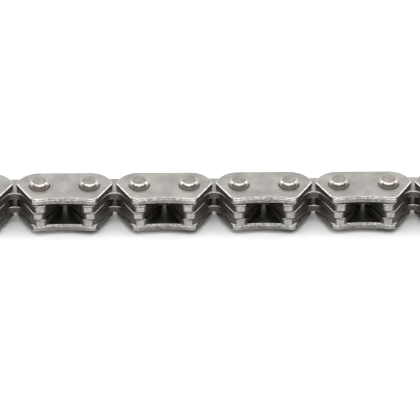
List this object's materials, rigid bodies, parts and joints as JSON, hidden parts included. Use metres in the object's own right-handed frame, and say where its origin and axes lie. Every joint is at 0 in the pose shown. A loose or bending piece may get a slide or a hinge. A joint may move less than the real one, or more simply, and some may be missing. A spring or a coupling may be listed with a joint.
{
  "type": "silent timing chain",
  "caption": "Open run of silent timing chain: toothed steel plates in alternating rows, hinged on round pins between plain guide plates, lying on its side.",
  "frame": {"origin": "under the middle of the run, centred across the plates, at the level of the lower pin ends", "axes": "+X along the chain, +Y towards its smooth back, -Y towards its teeth, +Z along the pins"},
  "size_m": [0.0886, 0.0066, 0.0063],
  "materials": {
    "toothed_plates": "tumbled satin spring steel, punched",
    "guide_plates": "tumbled satin spring steel, punched",
    "pins": "ground and polished hardened steel"
  },
  "bodies": {
    "inner_link_1": {"inner_link_1_lower_plate": "toothed_plates", "inner_link_1_upper_plate": "toothed_plates"},
    "inner_link_2": {"inner_link_2_lower_plate": "toothed_plates", "inner_link_2_upper_plate": "toothed_plates"},
    "inner_link_3": {"inner_link_3_lower_plate": "toothed_plates", "inner_link_3_upper_plate": "toothed_plates"},
    "inner_link_4": {"inner_link_4_lower_plate": "toothed_plates", "inner_link_4_upper_plate": "toothed_plates"},
    "inner_link_5": {"inner_link_5_lower_plate": "toothed_plates", "inner_link_5_upper_plate": "toothed_plates"},
    "inner_link_6": {"inner_link_6_lower_plate": "toothed_plates", "inner_link_6_upper_plate": "toothed_plates"},
    "inner_link_7": {"inner_link_7_lower_plate": "toothed_plates", "inner_link_7_upper_plate": "toothed_plates"},
    "guide_link_1": {"guide_link_1_lower_guide_plate": "guide_plates", "guide_link_1_centre_plate": "toothed_plates", "guide_link_1_upper_guide_plate": "guide_plates", "guide_link_1_left_pin": "pins", "guide_link_1_right_pin": "pins"},
    "guide_link_2": {"guide_link_2_lower_guide_plate": "guide_plates", "guide_link_2_centre_plate": "toothed_plates", "guide_link_2_upper_guide_plate": "guide_plates", "guide_link_2_left_pin": "pins", "guide_link_2_right_pin": "pins"},
    "guide_link_3": {"guide_link_3_lower_guide_plate": "guide_plates", "guide_link_3_centre_plate": "toothed_plates", "guide_link_3_upper_guide_plate": "guide_plates", "guide_link_3_left_pin": "pins", "guide_link_3_right_pin": "pins"},
    "guide_link_4": {"guide_link_4_lower_guide_plate": "guide_plates", "guide_link_4_centre_plate": "toothed_plates", "guide_link_4_upper_guide_plate": "guide_plates", "guide_link_4_left_pin": "pins", "guide_link_4_right_pin": "pins"},
    "guide_link_5": {"guide_link_5_lower_guide_plate": "guide_plates", "guide_link_5_centre_plate": "toothed_plates", "guide_link_5_upper_guide_plate": "guide_plates", "guide_link_5_left_pin": "pins", "guide_link_5_right_pin": "pins"},
    "guide_link_6": {"guide_link_6_lower_guide_plate": "guide_plates", "guide_link_6_centre_plate": "toothed_plates", "guide_link_6_upper_guide_plate": "guide_plates", "guide_link_6_left_pin": "pins", "guide_link_6_right_pin": "pins"}
  },
  "joints": [
    {"name": "guide_link_4_on_pin", "type": "hinge", "parent": "inner_link_4", "child": "guide_link_4", "pos_m": [0.00317, 0.00028, 0], "axis": [0, 0, -1], "range_deg": [-25, 25]},
    {"name": "inner_link_5_on_pin", "type": "hinge", "parent": "guide_link_4", "child": "inner_link_5", "pos_m": [0.00953, 0.00028, 0], "axis": [0, 0, -1], "range_deg": [-25, 25]},
    {"name": "guide_link_5_on_pin", "type": "hinge", "parent": "inner_link_5", "child": "guide_link_5", "pos_m": [0.01588, 0.00028, 0], "axis": [0, 0, -1], "range_deg": [-25, 25]},
    {"name": "inner_link_6_on_pin", "type": "hinge", "parent": "guide_link_5", "child": "inner_link_6", "pos_m": [0.02223, 0.00028, 0], "axis": [0, 0, -1], "range_deg": [-25, 25]},
    {"name": "guide_link_6_on_pin", "type": "hinge", "parent": "inner_link_6", "child": "guide_link_6", "pos_m": [0.02857, 0.00028, 0], "axis": [0, 0, -1], "range_deg": [-25, 25]},
    {"name": "inner_link_7_on_pin", "type": "hinge", "parent": "guide_link_6", "child": "inner_link_7", "pos_m": [0.03492, 0.00028, 0], "axis": [0, 0, -1], "range_deg": [-25, 25]},
    {"name": "guide_link_3_on_pin", "type": "hinge", "parent": "inner_link_4", "child": "guide_link_3", "pos_m": [-0.00317, 0.00028, 0], "axis": [0, 0, 1], "range_deg": [-25, 25]},
    {"name": "inner_link_3_on_pin", "type": "hinge", "parent": "guide_link_3", "child": "inner_link_3", "pos_m": [-0.00953, 0.00028, 0], "axis": [0, 0, 1], "range_deg": [-25, 25]},
    {"name": "guide_link_2_on_pin", "type": "hinge", "parent": "inner_link_3", "child": "guide_link_2", "pos_m": [-0.01588, 0.00028, 0], "axis": [0, 0, 1], "range_deg": [-25, 25]},
    {"name": "inner_link_2_on_pin", "type": "hinge", "parent": "guide_link_2", "child": "inner_link_2", "pos_m": [-0.02223, 0.00028, 0], "axis": [0, 0, 1], "range_deg": [-25, 25]},
    {"name": "guide_link_1_on_pin", "type": "hinge", "parent": "inner_link_2", "child": "guide_link_1", "pos_m": [-0.02857, 0.00028, 0], "axis": [0, 0, 1], "range_deg": [-25, 25]},
    {"name": "inner_link_1_on_pin", "type": "hinge", "parent": "guide_link_1", "child": "inner_link_1", "pos_m": [-0.03492, 0.00028, 0], "axis": [0, 0, 1], "range_deg": [-25, 25]}
  ]
}
